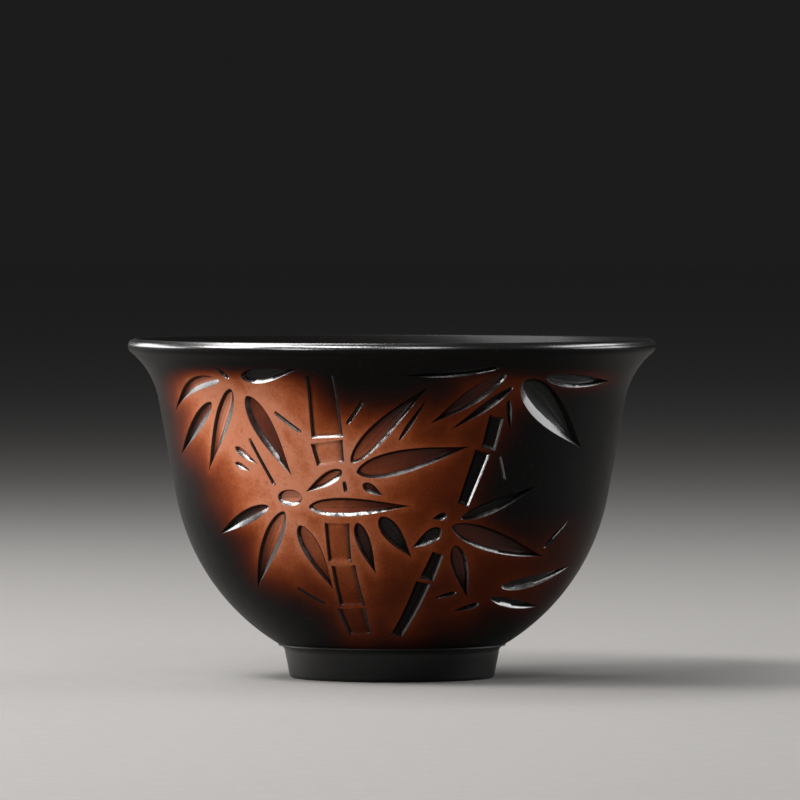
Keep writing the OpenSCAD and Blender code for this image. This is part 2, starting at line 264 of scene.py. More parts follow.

# The rubbed red patch as soft spots seen from the front, each with its place right of the middle and
# its height, its half width and half height, and how red it is. Toward the right the spots are weaker,
# partly as painted shade of the side turned from the lamps. The black spots take red away.
RED_SPOTS = np.array([
    (-24.5, 39.5, 6, 5, 0.75), (-21, 35, 8, 8.5, 0.85), (-16, 37.5, 8.5, 6, 0.8),
    (-16, 28.5, 9, 9.5, 0.85), (-10, 29.5, 10, 9, 0.74), (-3.5, 30.5, 11, 9.5, 0.6),
    (4, 30.5, 9.5, 9.5, 0.4), (-13.5, 20, 7, 8, 0.7), (-6, 18.5, 9, 9.5, 0.6),
    (1, 20, 9, 9.5, 0.42), (-4, 10.5, 5.5, 7, 0.36), (8, 18.5, 8, 8.5, 0.3),
    (2, 9.5, 6, 5.5, 0.32), (8.5, 10.5, 6, 5, 0.26),
    (13, 16, 8, 7.5, 0.25), (17.5, 14, 8, 6.5, 0.22), (15, 40, 8, 4.5, 0.28),
    (26, 41.5, 6, 2.5, 0.25), (11.5, 35, 6.5, 7, 0.29), (22, 19, 6, 5.5, 0.18)])
BLACK_SPOTS = np.array([
    (-2.5, 42, 9, 6, 0.8), (21, 29, 9, 9, 0.95), (-9.5, 42, 4.5, 6, 0.1)])
# How sharply spots that overlap keep to the strongest one, and where a spot starts and ends to fade
SPOT_MERGE = 3.5
SPOT_CORE, SPOT_EDGE = 0.2, 1.4
# Where the red ends under the lip and over what height it fades, and how it fades to the sides
RED_TOP, RED_FADE = 43.6, 3.0
RED_SIDE = 7.0
# Worn edges of the cuts: how far the wear shows on the ground, and how much red it adds
WEAR_REACH, WEAR_RED = 0.8, 0.3

# Colours of the clay: the black skin and the colours along the rubbed redness. Then the flecks: their
# colour, from what noise on they show, and how strongly.
BLACK_SKIN = (0.0042, 0.0038, 0.0036)
RED_STOPS = [
    (0.0, BLACK_SKIN), (0.05, BLACK_SKIN), (0.22, (0.032, 0.0045, 0.001)),
    (0.5, (0.135, 0.022, 0.0042)), (0.78, (0.32, 0.08, 0.026)), (1.0, (0.43, 0.165, 0.095))]
BLACK_STOPS = [(0.0, BLACK_SKIN), (1.0, BLACK_SKIN)]
FLECK, FLECK_FROM, FLECK_SHARE = (0.03, 0.024, 0.02), 0.69, 0.25
# How dark the cuts are, from dark skin left in them and painted shade of the recesses, how much
# duller the red is, and how far clouds and grain vary the clay
CUT_SKIN_AND_SHADE, RED_DULLING, ROUGHNESS_SPREAD = 0.95, 0.12, 0.05
CLOUD_SPREAD, GRAIN_SPREAD = (0.75, 1.25), (-0.16, 0.16)
# Each noise of the clay: its size in millimetres, its detail and, for the clouds, its roughness
CLOUD_NOISE, GRAIN_NOISE = (2.6, 4.0, 0.6), (0.35, 2.0)
FLECK_NOISE, UNEVEN_NOISE, BREAK_NOISE = (0.5, 1.0), (6.0, 2.0), (0.7, 2.0)
UNEVEN_DEPTH = 0.05
# The gloss of the banks and the lip. A glint is lost up to the low end of a range of its noise, by so
# much, and whole from the high end on.
GLOSS_ROUGHNESS, GLOSS_IOR = 0.24, 2.1
BREAK_RANGE, BREAK_DULLING = (0.4, 0.54), 0.85
# The lip's gloss, from an angle above its widest point and over so many steps, and the inside's
LIP_GLOSS, GLOSS_FROM, GLOSS_STEPS, INSIDE_GLOSS = 1.0, math.radians(3), 7, 0.06


def smooth(x):
    """Eases from 0 to 1 over x from 0 to 1."""
    x = np.clip(x, 0, 1)
    return x * x * (3 - 2 * x)


def spots_at(spots, points):
    """Strength of each soft spot at points given in millimetres, seen from the front."""
    right, height, half_w, half_h, strength = spots.T
    away = np.hypot((points[:, :1] - right) / half_w, (points[:, 2:3] - height) / half_h)
    return strength * smooth((SPOT_EDGE - away) / (SPOT_EDGE - SPOT_CORE))


def redness(points):
    """How far the dark skin is rubbed back to the red clay, from 0 to 1, less to the right partly as
    painted shade.
    """
    red = (spots_at(RED_SPOTS, points) ** SPOT_MERGE).sum(1) ** (1 / SPOT_MERGE)
    black = (1 - spots_at(BLACK_SPOTS, points)).prod(1)
    front = smooth(-points[:, 1] / RED_SIDE)
    return np.clip(red, 0, 1) * black * front * smooth((RED_TOP - points[:, 2]) / RED_FADE)


def wall_points(azimuth, z, depth):
    """Points at a depth below the outer face, in millimetres."""
    lean = face_lean(z)
    r, h = face_r(z) - depth * np.cos(lean), z + depth * np.sin(lean)
    return np.stack([r * np.sin(azimuth), -r * np.cos(azimuth), h + 0 * r], -1)


def circle(r, z, count):
    """Points of a circle about the cup's axis, from the back round by the left."""
    azimuth = np.linspace(-math.pi, math.pi, count, endpoint=False)
    return np.stack([r * np.sin(azimuth), -r * np.cos(azimuth), np.full(count, z)], -1)


def lay(place, right, up, direction, flat):
    """Lays flat points on the wall about a point beside a place: their azimuth and height."""
    z0 = MID_Z + place[1] * STEP
    azimuth = place[0] * STEP / MID_R + right / float(face_r(z0))
    z = z0 + up * math.cos(face_lean(z0))
    lean, r = float(face_lean(z)), float(face_r(z))
    across = np.array([math.cos(azimuth), math.sin(azimuth), 0])
    outward = np.array([math.sin(azimuth), -math.cos(azimuth), 0])
    upward = math.sin(lean) * outward + [0, 0, math.cos(lean)]
    normal = np.cross(across, upward)
    cos, sin = math.cos(direction), math.sin(direction)
    turned = np.asarray(flat) @ np.array([[cos, -sin], [sin, cos]]).T
    start = r * outward + [0, 0, z] + turned[:, :1] * across + turned[:, 1:] * upward
    low, high = np.full(len(start), -SEARCH_REACH), np.full(len(start), SEARCH_REACH)
    for _ in range(SEARCH_HALVINGS):
        middle = (low + high) / 2
        at = start + middle[:, None] * normal
        outside = np.hypot(at[:, 0], at[:, 1]) > face_r(at[:, 2])
        high, low = np.where(outside, middle, high), np.where(outside, low, middle)
    at = start + low[:, None] * normal
    return np.arctan2(at[:, 0], -at[:, 1]), at[:, 2]


def along(direction):
    """The unit vector of a direction, right and up."""
    return np.array([math.cos(direction), math.sin(direction)])


def left_of(direction):
    """The unit vector to the left of a direction, right and up."""
    return np.array([-math.sin(direction), math.cos(direction)])


def waves(t, waves_long):
    """A smooth random unevenness along a hand-cut edge, about -1 to 1."""
    start = RNG.uniform(0, 2 * math.pi, WAVE_COUNT)
    pace = RNG.uniform(*WAVE_PACES, WAVE_COUNT)
    return np.sin(2 * math.pi * waves_long * t[:, None] * pace + start).mean(1) * 2


def sloped_way(azimuth):
    """Which way a sloped bank faces on the wall there, right and up. The cup turned half as far."""
    turned = np.asarray(azimuth, float) * TURN_SHARE
    level = np.zeros_like(turned)
    out = np.stack([np.sin(turned), -np.cos(turned), level], -1)
    right = np.stack([np.cos(turned), np.sin(turned), level], -1) @ TOOL_WAY
    up = math.sin(WALL_LEAN) * (out @ TOOL_WAY) + math.cos(WALL_LEAN) * TOOL_WAY[2]
    return np.stack([right, up], -1) / np.hypot(right, up)[..., None]


def slope_share(direction, azimuth):
    """How far the banks left and right of a direction are the sloped kind, from 0 to 1."""
    right = float(smooth(0.5 + left_of(direction) @ sloped_way(azimuth)))
    return 1 - right, right


def tool_slope(azimuth, z):
    """Slope of a sloped bank at a place on the wall: the tool was held the same way throughout."""
    lean, azimuth = float(face_lean(z)[0]), float(azimuth[0])
    level = math.cos(lean)
    normal = np.array([level * math.sin(azimuth), -level * math.cos(azimuth), -math.sin(lean)])
    across = float(normal @ TOOL_WAY / np.linalg.norm(TOOL_WAY))
    slope = math.sqrt(1 - across**2) / max(across, LEAST_ACROSS)
    return float(np.clip(slope, LEAST_SLOPE, MOST_SLOPE))


def facing(azimuth, z, way=None):
    """How far each point of a ring lies on a sloped bank, from 0 to 1. The ring turns to the left."""
    way = sloped_way(azimuth) if way is None else way
    at = np.stack([azimuth * MID_R, z], -1)
    onward = np.roll(at, -1, 0) - np.roll(at, 1, 0)
    inward = np.stack([-onward[:, 1], onward[:, 0]], -1)
    return smooth(0.5 + (inward * way).sum(-1) / np.maximum(np.hypot(*onward.T), TINY))


# One ring of a cut on the wall: where it lies, how deep it is, how far it is sunk and how much of its
# gloss shows, from 0 to 1
Ring = namedtuple("Ring", "azimuth z depth sunk shine")


class Leaf:
    """One carved leaf: its flat outline at any inset, and where that lies on the wall."""

    def __init__(self, name, hub, row, form):
        right, up, direction, length, width, bow, *self.reds = row
        self.name, self.hub, self.form = name, hub, form
        self.base, self.direction = np.array([right, up]) * STEP, math.radians(direction)
        self.length, self.width, self.bow = length * STEP, width * STEP, bow * STEP
        azimuth, z = lay(hub, *self.middle(), self.direction, np.zeros((1, 2)))
        slope = GENTLE_BANKS.get(name, tool_slope(azimuth, z))
        usual = min(WIDE_BANKS.get(name, SLOPED_W), BANK_DEPTH / slope)
        wide = min(SCOOPED.get(name, usual), SLOPED_SHARE * self.width)
        steep = ROUND_STEEP_W if form == BUD_FORM else min(STEEP_W, STEEP_SHARE * self.width)
        self.end_banks = ROUND_END_BANKS if form == BUD_FORM else END_BANKS
        shares = slope_share(self.direction, azimuth[0])
        self.way = None
        if name in SCOOPED:
            self.way, shares = left_of(self.direction), (0, 1)
        self.banks = [steep + (wide - steep) * share for share in shares]
        self.bank = sum(self.banks) / 2
        self.deep = min(BANK_DEPTH, slope * wide)
        self.edge_deep = EDGE_WEAR * self.deep * min(EDGE_W / wide, 1 / EDGE_PARTS)
        self.broken = BREAKS.get(name, FEW_BREAKS)
        # From 0 at the base to 1 at the tip, closer together at both ends
        count = max(LEAST_LEAF_STEPS, round(self.length / CUT_SPACING))
        self.t = (1 - np.cos(np.linspace(0, math.pi, count + 1))) / 2
        self.wave = [waves(self.t, self.length / WAVE_SPACING) for _ in range(2)]

    def sides(self, insets, base_cut, tip_cut, wave=0.0):
        """The outline's left and right sides from base to tip, set in and shortened."""
        rise, fall = self.form
        full = rise / (rise + fall)
        shape = self.t ** rise * (1 - self.t) ** fall
        shape = shape / (full ** rise * (1 - full) ** fall)
        x = -self.length / 2 + base_cut + self.t * (self.length - base_cut - tip_cut)
        part = x / self.length + 0.5
        middle = 4 * self.bow * part * (1 - part)
        halves = [(self.width / 2 - inset - wave * w) * shape for inset, w in zip(insets, self.wave)]
        return np.stack([x, middle + halves[0]], -1), np.stack([x, middle - halves[1]], -1)

    def middle(self):
        """The middle's place right of and above the hub."""
        return self.base + self.length / 2 * along(self.direction)

    def on_wall(self, flat):
        """Azimuth and height of flat points of the leaf."""
        return lay(self.hub, *self.middle(), self.direction, flat)

    def ring(self, insets, base_cut, tip_cut, wave=0.0):
        """Azimuth and height of the outline, turning to the left from the base."""
        left, right = self.sides(insets, base_cut, tip_cut, wave)
        return self.on_wall(np.concatenate([right, left[-2:0:-1]]))

    def floor_sides(self, gap=0.0):
        """The pocket's insets and end cuts at its floor, for a ring or for sides."""
        insets = [bank + gap for bank in self.banks]
        base_cut, tip_cut = (share * self.bank + gap for share in self.end_banks)
        return insets, base_cut, tip_cut, BANK_WAVE

    def rings(self):
        """The pocket's rings, from the ground in."""
        edges = [min(EDGE_W, bank / EDGE_PARTS) for bank in self.banks]
        shine = DULL_BANKS.get(self.name, 1)
        return [Ring(*self.ring((-WORN_W, -WORN_W), -WORN_W, -WORN_W), 0, 1, shine),
                Ring(*self.ring((0, 0), 0, 0), 0, 1, shine),
                Ring(*self.ring(edges, EDGE_W, TIP_EDGES * EDGE_W), self.edge_deep, 1, shine),
                Ring(*self.ring(*self.floor_sides()), self.deep, 1, shine),
                Ring(*self.ring(*self.floor_sides()), LEAF_DEPTH, 1, shine)]


class Panel:
    """One sunk internode or twig: a straight-sided panel with sampled edges."""

    def __init__(self, place, direction, length, widths, kind, red, dips=(0, 0), reach=(0, 0), glint=1):
        self.place, self.direction, self.solid_length = place, math.radians(direction), length
        self.length, self.shift = length + sum(reach), (reach[1] - reach[0]) / 2
        self.low_w, self.high_w = widths
        steep, wide = (min(bank, kind.bank_share * sum(widths) / 2) for bank in kind.banks)
        shares = slope_share(self.direction, place[0] * STEP / MID_R)
        self.banks = [steep + (wide - steep) * share for share in shares]
        self.kind, self.red, self.dips, self.glint = kind, red, dips, glint
        self.way, self.broken = None, FEW_BREAKS
        self.run = min(END_RUN, RUN_SHARE * length)
        self.count = max(LEAST_PANEL_STEPS, round(length / CUT_SPACING))
        self.across = max(LEAST_PANEL_COLUMNS, round(sum(widths) / 2 / CUT_SPACING))

    def grid(self, share):
        """A grid of flat points over the panel, set in by a share of its banks."""
        left, right = (share * bank for bank in self.banks)
        inset = (left + right) / 2
        s = np.linspace(-1, 1, self.across + 1)
        t = np.linspace(0, 1, self.count + 1)
        x = (t - 0.5) * (self.length - 2 * inset)
        width = self.low_w + (self.high_w - self.low_w) * (x / self.length + 0.5)
        y = (width / 2 - inset)[:, None] * s + (right - left) / 2
        return np.stack([np.repeat(x[:, None], len(s), 1), y], -1)

    def ends(self, grid, run):
        """How far a grid's points are from the lower and the upper end, from 0 to 1 over a run."""
        return [smooth((self.length / 2 + way * grid[..., 0]) / run) for way in (1, -1)]

    def sunk(self, grid):
        """How deep points lie, from 0 to 1: the floor swells, may dip at an end, or runs out."""
        low, high = self.ends(grid, self.run)
        if self.kind.runs_out:
            return low * high
        s = np.linspace(-1, 1, grid.shape[1])
        dip = (1 - self.dips[0] * (1 - low)) * (1 - self.dips[1] * (1 - high))
        return 1 - self.kind.swell * (1 - s**SWELL_POWER) * dip

    def shine(self, grid):
        """How much gloss shows, from 0 to 1: a node glints only where the floor dips to it."""
        low, high = self.ends(grid, END_SHINE)
        low_dull, high_dull = (1 - max(dip, 0) for dip in self.dips)
        return self.glint * (1 - low_dull * (1 - low)) * (1 - high_dull * (1 - high))

    def edge_of(self, grid):
        """The grid's points round its edge, turning to the left."""
        return np.concatenate([grid[:-1, 0], grid[-1, :-1], grid[:0:-1, -1], grid[0, :0:-1]])

    def on_wall(self, flat):
        """Azimuth and height of flat points of the panel."""
        half = self.solid_length / 2 * along(self.direction)
        return lay(self.place, *half, self.direction, flat + [self.shift, 0])

    def rings(self):
        """The panel's rings, from the ground in."""
        shares = ((-EDGE_SHARE, 0), (0, 0), (EDGE_SHARE, EDGE_DEPTH), (1, self.kind.depth))
        rings = []
        for share, depth in shares:
            grid = self.grid(share)
            sunk, shine = self.edge_of(self.sunk(grid)), self.edge_of(self.shine(grid))
            rings.append(Ring(*self.on_wall(self.edge_of(grid)), depth * sunk, sunk, shine))
        return rings


leaves = [Leaf(f"{name}_leaf_{i + 1}", hub, row, LEAF_FORM)
          for name, hub, rows in SPRAYS for i, row in enumerate(rows)]
leaves.append(Leaf("lower_left_bud", BUD_HUB, BUD, BUD_FORM))
panels = []
for (right, up, direction, length, low_w, high_w, floor_red, *dips), reach in zip(CANES, CANE_REACH):
    widths = (low_w * STEP, high_w * STEP)
    panels.append(Panel((right, up), direction, length * STEP, widths, CANE, floor_red, dips, reach))
for right, up, direction, length, glint in TWIGS:
    widths = (TWIG_W, TWIG_W)
    panels.append(Panel((right, up), direction, length * STEP, widths, TWIG, TWIG_RED, glint=glint))


def add_object(name, data):
    """Adds an object with the given data to the scene."""
    made = bpy.data.objects.new(name, data)
    bpy.context.scene.collection.objects.link(made)
    return made


class Surface:
    """Points and faces that become one mesh.

    Each point has how red, cut (dark skin and painted shade) and glossy it is, and how far its gloss is
    broken.
    """

    def __init__(self):
        self.points, self.faces = [], []
        self.values = {"red": [], "cut": [], "gloss": [], "broken": []}

    def add(self, points, red=1.0, cut=0.0, gloss=0.0, broken=0.0):
        """Adds points in millimetres, and returns their numbers."""
        first = len(self.points)
        self.points.extend(np.asarray(points, float).reshape(-1, 3))
        count = len(self.points) - first
        for values, value in zip(self.values.values(), (red, cut, gloss, broken)):
            values.extend(np.broadcast_to(value, count))
        return np.arange(first, first + count)

    def band(self, outer, inner):
        """Joins two closed rings of points that turn to the left, the second inside the first."""
        for i in range(len(outer)):
            j = (i + 1) % len(outer)
            self.faces.append((outer[i], outer[j], inner[j], inner[i]))

    def sheet(self, grid):
        """Joins a grid of points, its rows one after another to the right."""
        for a, b in zip(grid[:-1], grid[1:]):
            for j in range(len(a) - 1):
                self.faces.append((a[j], b[j], b[j + 1], a[j + 1]))

    def turn(self, ring, profile, down=False, **values):
        """Turns a profile about the axis, on from a ring of points. It may end on the axis."""
        for r, z in profile:
            points = circle(r, z, len(ring))
            following = self.add(points[:1] if r < TINY else points, **values)
            following = np.broadcast_to(following, len(ring))
            self.band(*((following, ring) if down else (ring, following)))
            ring = following
        return ring

    def piece(self, name, material, red):
        """Makes the mesh object. red gives each point's redness from its place and its own share."""
        points = np.array(self.points)
        mesh = bpy.data.meshes.new(name)
        faces = [tuple(dict.fromkeys(int(v) for v in f)) for f in self.faces]
        mesh.from_pydata((points * MM).tolist(), [], [f for f in faces if len(f) > 2])
        values = dict(self.values, red=red(points, np.array(self.values["red"])))
        for key, value in values.items():
            layer = mesh.attributes.new(key, "FLOAT", "POINT")
            layer.data.foreach_set("value", np.array(value, np.float32))
        mesh.validate()
        mesh.polygons.foreach_set("use_smooth", [True] * len(mesh.polygons))
        mesh.set_sharp_from_angle(angle=SHARP_FROM)
        mesh.materials.append(material)
        return add_object(name, mesh)


def arc(centre, radius, start, end, count):
    """Points of an arc in the section, its angles in radians, without its first point."""
    angle = np.linspace(start, end, count + 1)[1:]
    return np.stack([centre[0] + radius * np.cos(angle), centre[1] + radius * np.sin(angle)], -1)


def line(start, end, count):
    """Points of a line in the section, without its first point."""
    return np.linspace(start, end, count + 1)[1:]


def build_wall(surface, cut_rings, near):
    """The carved wall with a hole at each cut, meshed as a flat map that is open at the back.

    Gives the numbers of the points of its lowest row, of its highest row and of each hole.
    """
    heights = np.linspace(FOOT_H, WALL_TOP_Z, PROFILE_SAMPLES)
    steps = np.hypot(np.diff(heights), np.diff(face_r(heights)))
    arcs = np.concatenate([[0], np.cumsum(steps)])
    # Every second row is shifted by half a column, and the number is even so that the last one isn't
    rows = 2 * round(arcs[-1] / ROW_SPACING / 2)
    azimuth, z = [], []
    first_row, last_row, seam = [], [], {}
    for j in range(rows + 1):
        height = float(np.interp(arcs[-1] * j / rows, arcs, heights))
        shift = 0.5 * (j % 2)
        numbers = {}
        for i in range(COLUMNS + 1 - j % 2):
            a = -math.pi + (i + shift) * 2 * math.pi / COLUMNS
            if near.find(wall_points(np.array(a), np.array(height), 0))[2] > CLEAR_OF_CUTS:
                numbers[i] = len(z)
                azimuth.append(a)
                z.append(height)
        if j % 2 == 0:
            seam[numbers[COLUMNS]] = numbers[0]
        if j in (0, rows):
            (first_row if j == 0 else last_row).extend(numbers[i] for i in range(COLUMNS))
    holes = []
    for outer, *_ in cut_rings:
        holes.append(list(range(len(z), len(z) + len(outer.azimuth))))
        azimuth.extend(outer.azimuth)
        z.extend(outer.z)
    azimuth, z = np.array(azimuth), np.array(z)
    flat = [Vector(p) for p in zip(azimuth * MID_R, np.interp(z, heights, arcs))]
    # Kind 0 fills the whole map with triangles, and says which points and which hole each comes from
    _, _, faces, from_points, _, from_holes = geometry.delaunay_2d_cdt(flat, [], holes, 0, TINY, True)
    surface.add(wall_points(azimuth, z, 0))
    for face, inside in zip(faces, from_holes):
        if not inside:
            corners = [from_points[v][0] for v in face]
            surface.faces.append([seam.get(v, v) for v in corners])
    return np.array(first_row), np.array(last_row), holes


def build_cut(surface, cut, rings, hole):
    """One leaf's pocket or one panel, from its hole in the wall down to its floor."""
    is_leaf = isinstance(cut, Leaf)
    numbers = [np.array(hole)]
    for k, ring in enumerate(rings[1:] if is_leaf else rings[1:-1]):
        # The first of these rings is the cut's edge, still level with the wall
        # How far a ring darkens, as dark skin and painted shade, grows from the cut's edge in
        below = ring.sunk * min(k, 1)
        gloss = ring.shine * facing(ring.azimuth, ring.z, cut.way) * below
        points = wall_points(ring.azimuth, ring.z, ring.depth)
        numbers.append(surface.add(points, 1, below, gloss, cut.broken))
    if is_leaf:
        count = len(cut.t)
        right = numbers[-1][:count]
        left = np.concatenate([right[:1], numbers[-1][:count - 1:-1], right[-1:]])
        surface.sheet(np.stack([right, left], -1))
    else:
        grid = cut.grid(1)
        sunk = cut.sunk(grid)
        points = wall_points(*cut.on_wall(grid.reshape(-1, 2)), cut.kind.depth * sunk.ravel())
        # The floor darkens toward its grooves: dark skin and painted shade
        dark = sunk.ravel() ** GROOVE_POWER
        floor = surface.add(points, cut.red, dark, 0, cut.broken).reshape(grid.shape[:2])
        numbers.append(cut.edge_of(floor))
        gloss = facing(*cut.on_wall(cut.edge_of(grid))) * cut.edge_of(sunk * cut.shine(grid))
        for number, value in zip(numbers[-1], gloss):
            surface.values["gloss"][number] = value
        surface.sheet(floor)
    for outer, inner in zip(numbers[:-1], numbers[1:]):
        surface.band(outer, inner)


def build_bowl(material):
    """The bowl: its carved wall, then the lip, the inside and the underside."""
    surface = Surface()
    cuts = leaves + panels
    cut_rings = [cut.rings() for cut in cuts]
    edge = np.concatenate([wall_points(outer.azimuth, outer.z, outer.depth)
                           for outer, *_ in cut_rings])
    near = kdtree.KDTree(len(edge))
    for i, point in enumerate(edge):
        near.insert(point, i)
    near.balance()
    first_row, last_row, holes = build_wall(surface, cut_rings, near)
    for cut, rings, hole in zip(cuts, cut_rings, holes):
        build_cut(surface, cut, rings, hole)

    flare_start = math.pi - math.asin((WALL_TOP_Z - FLARE_C[1]) / FLARE_R)
    flare_end = arc(FLARE_C, FLARE_R, flare_start, LIP_ANGLE, FLARE_END_STEPS)
    under_lip = arc(LIP_C, WALL / 2, LIP_ANGLE - math.pi, GLOSS_FROM, UNDER_LIP_STEPS)
    over_lip = arc(LIP_C, WALL / 2, GLOSS_FROM, LIP_ANGLE, OVER_LIP_STEPS)
    inner_hi, inner_lo = WALL_HI - WALL * OUT, INNER_C + INNER_BELLY_R * OUT
    inside = np.concatenate([
        over_lip[GLOSS_STEPS:],
        arc(FLARE_C, FLARE_R + WALL, LIP_ANGLE, math.pi - WALL_LEAN, INNER_FLARE_STEPS),
        line(inner_hi, inner_lo, INNER_WALL_STEPS),
        arc(INNER_C, INNER_BELLY_R, -WALL_LEAN, -math.pi / 2, INNER_BELLY_STEPS),
        line((INNER_C[0], FLOOR_Z), (0, FLOOR_Z), INNER_FLOOR_STEPS)])
    lip = surface.turn(last_row, np.concatenate([flare_end, under_lip]), red=0)
    lip = surface.turn(lip, over_lip[:GLOSS_STEPS], red=0, gloss=LIP_GLOSS)
    surface.turn(lip, inside, red=0, gloss=INSIDE_GLOSS)
    disc_r = FOOT_IN_R - FOOT_FIT
    surface.turn(first_row, np.concatenate([
        line(SEAT, (disc_r, FOOT_H), SEAT_STEPS),
        line((disc_r, FOOT_H), (disc_r, FOOT_HOLLOW), DISC_SIDE_STEPS),
        line((disc_r, FOOT_HOLLOW), (0, FOOT_HOLLOW), DISC_STEPS)]), down=True, red=0)

    def red(points, share):
        """The ground's redness, with a little more where a cut's edge is worn."""
        away = np.array([near.find(point)[2] for point in points])
        bare = redness(points)
        worn = WEAR_RED * np.exp(-(away / WEAR_REACH) ** 2) * bare
        return np.clip(bare + worn, 0, 1) * share

    return surface.piece("bowl_stoneware", material, red)


def build_slip(leaf, material):
    """The dark slip in one leaf: a dished face with a midrib, and sides down into the pocket."""
    surface = Surface()
    left, right = leaf.sides(*leaf.floor_sides(SLIP_GAP))
    # From -1 at the right side to 1 at the left one
    s = np.linspace(-1, 1, SLIP_ACROSS + 1)
    flat = right[:, None] + (left - right)[:, None] * ((s + 1) / 2)[:, None]
    ends = smooth(DISH_STEEPNESS * leaf.t * (1 - leaf.t))[:, None]
    full = min(1, leaf.width / FULL_DISH_W)
    dish = DISH * (1 - s**2) - RIB * np.exp(-((s / RIB_W) ** 2))
    depth = leaf.deep + full * ends * dish
    azimuth, z = leaf.on_wall(flat.reshape(-1, 2))
    base, tip = leaf.reds
    share = (base + (tip - base) * smooth(leaf.t[:, None])) * (1 - EDGE_DARK * s**EDGE_DARK_POWER)
    face = surface.add(wall_points(azimuth, z, depth.ravel()), share.ravel()).reshape(depth.shape)
    foot = surface.add(wall_points(azimuth, z, LEAF_DEPTH - SLIP_GAP), 0, 1).reshape(depth.shape)
    surface.sheet(face)
    surface.sheet(foot[:, ::-1])
    for side in (0, -1):
        rows = np.stack([foot[:, side], face[:, side]], -1)
        surface.sheet(rows if side == 0 else rows[:, ::-1])
    return surface.piece(f"{leaf.name}_slip", material, lambda points, share: redness(points) * share)


def build_foot(material):
    """The foot ring: a turned ring with worn round edges and a cove under the bowl."""
    surface = Surface()
    out_r, seat_r = FOOT_D / 2, SEAT_D / 2
    in_edge_r, out_edge_r = FOOT_IN_R + FOOT_EDGE_R, out_r - FOOT_EDGE_R
    profile = np.concatenate([
        line((FOOT_IN_R, FOOT_H), (FOOT_IN_R, FOOT_EDGE_R), FOOT_BORE_STEPS),
        arc((in_edge_r, FOOT_EDGE_R), FOOT_EDGE_R, math.pi, 1.5 * math.pi, FOOT_EDGE_STEPS),
        line((in_edge_r, 0), (out_edge_r, 0), FOOT_FLAT_STEPS),
        arc((out_edge_r, FOOT_EDGE_R), FOOT_EDGE_R, -math.pi / 2, 0, FOOT_EDGE_STEPS),
        line((out_r, FOOT_EDGE_R), (FOOT_TOP_R, COVE_Z), FOOT_SIDE_STEPS),
        arc((seat_r, COVE_Z), FOOT_COVE_R, math.pi, math.pi / 2, COVE_STEPS),
        line((seat_r, FOOT_H - COVE_LAND), (seat_r, FOOT_H), 1),
        line((seat_r, FOOT_H), (FOOT_IN_R, FOOT_H), FOOT_FLAT_STEPS)])
    start = surface.add(circle(*profile[-1], COLUMNS), 0)
    end = surface.turn(start, profile[:-1], red=0)
    surface.band(end, start)
    return surface.piece("foot_ring_stoneware", material, lambda points, share: 0 * share)


class Shader:
    """A material and short ways to add and join its nodes."""

    def __init__(self, name):
        self.material = bpy.data.materials.new(name)
        self.material.use_nodes = True
        self.tree = self.material.node_tree
        self.surface = self.tree.nodes["Principled BSDF"]
        self.place = self.node("ShaderNodeTexCoord").outputs["Object"]

    def node(self, kind, inputs=(), **settings):
        """Adds a node. inputs maps a socket's name or number to a value or another node's output."""
        made = self.tree.nodes.new(kind)
        for key, value in settings.items():
            setattr(made, key, value)
        for key, value in dict(inputs).items():
            self.put(made.inputs[key], value)
        return made

    def put(self, socket, value):
        """Gives a socket a value, or joins it to another node's output."""
        if isinstance(value, bpy.types.NodeSocket):
            self.tree.links.new(value, socket)
        else:
            socket.default_value = value

    def set(self, **inputs):
        """Puts values into the surface's sockets, their names written with underscores."""
        for key, value in inputs.items():
            self.put(self.surface.inputs[key.replace("_", " ")], value)

    def attribute(self, name):
        """One of the values that each point of a Surface has."""
        return self.node("ShaderNodeAttribute", attribute_name=name).outputs["Fac"]

    def noise(self, size_mm, detail, roughness=0.5):
        """Noise whose features are about size_mm across, from 0 to 1."""
        inputs = {"Vector": self.place, "Scale": 1 / (size_mm * MM), "Detail": detail,
                  "Roughness": roughness}
        return self.node("ShaderNodeTexNoise", inputs).outputs["Fac"]

    def math(self, operation, a, b, clamp=False):
        """The result of an operation on two values."""
        made = self.node("ShaderNodeMath", {0: a, 1: b}, operation=operation, use_clamp=clamp)
        return made.outputs[0]

    def spread(self, value, low, high, start=0.0, end=1.0):
        """Spreads a value that runs from start to end over low to high."""
        inputs = {"Value": value, "From Min": start, "From Max": end, "To Min": low, "To Max": high}
        return self.node("ShaderNodeMapRange", inputs).outputs[0]

    def ramp(self, value, stops):
        """Colours along a value, as pairs of a position and a linear colour."""
        made = self.node("ShaderNodeValToRGB", {"Fac": value})
        made.color_ramp.interpolation = "B_SPLINE" if len(stops) > 2 else "LINEAR"
        while len(made.color_ramp.elements) < len(stops):
            made.color_ramp.elements.new(1.0)
        for element, (position, colour) in zip(made.color_ramp.elements, stops):
            element.position, element.color = position, (*colour, 1)
        return made.outputs["Color"]

    def mix(self, share, a, b):
        """Mixes colour a with a plain colour b, by a share of b."""
        made = self.node("ShaderNodeMix", data_type="RGBA")
        for key, value in (("Factor_Float", share), ("A_Color", a), ("B_Color", (*b, 1))):
            self.put(next(i for i in made.inputs if i.identifier == key), value)
        return next(o for o in made.outputs if o.identifier == "Result_Color")

    def bump(self, height, depth_mm, below=None):
        """A bumpy normal from a height of 0 to 1, on top of another one if that is given."""
        inputs = {"Height": height, "Distance": depth_mm * MM, "Strength": 1.0}
        if below is not None:
            inputs["Normal"] = below
        return self.node("ShaderNodeBump", inputs).outputs["Normal"]


